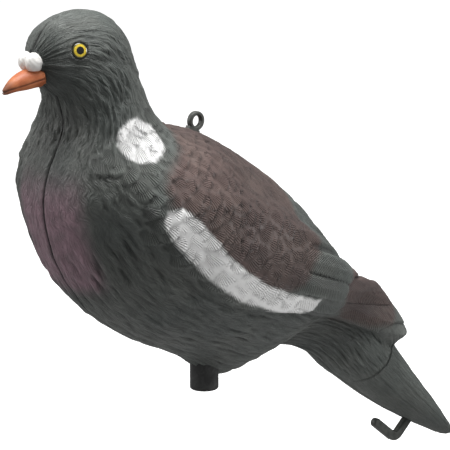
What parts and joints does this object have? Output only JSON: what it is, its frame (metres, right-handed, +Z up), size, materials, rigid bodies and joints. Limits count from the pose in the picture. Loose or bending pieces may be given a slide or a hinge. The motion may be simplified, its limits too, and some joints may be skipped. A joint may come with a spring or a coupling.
{
  "type": "wood pigeon decoy",
  "caption": "Life-size moulded wood pigeon decoy in two half shells that turns on a peg tube, with a hanging ring and a tail hook",
  "frame": {"origin": "centre of the peg tube's mouth, under the belly", "axes": "+Z up along the peg tube; the bird looks along -Y and its tail points along +Y and down; +X is the bird's left side; symmetric about X = 0"},
  "size_m": [0.1384, 0.3342, 0.2892],
  "materials": {
    "shell_plastic": "satin, spray painted",
    "bill_plastic": "satin, painted orange with a white cere",
    "eye": "glossy",
    "black_plastic": "unpainted, slightly glossy",
    "steel": "plain"
  },
  "bodies": {
    "peg": {"peg_tube": "black_plastic"},
    "bird": {"left_shell": "shell_plastic", "right_shell": "shell_plastic", "bill": "bill_plastic", "left_eye": "eye", "right_eye": "eye", "eye_washers": "steel", "hanging_ring": "black_plastic", "ring_cross_pin": "steel", "tail_hook": "black_plastic", "hook_cross_pin": "steel", "seam_pins": "black_plastic"}
  },
  "joints": [
    {"name": "bird_swivel", "type": "hinge", "parent": "peg", "child": "bird", "pos_m": [0, 0, 0.032], "axis": [0, 0, 1], "continuous": true}
  ]
}
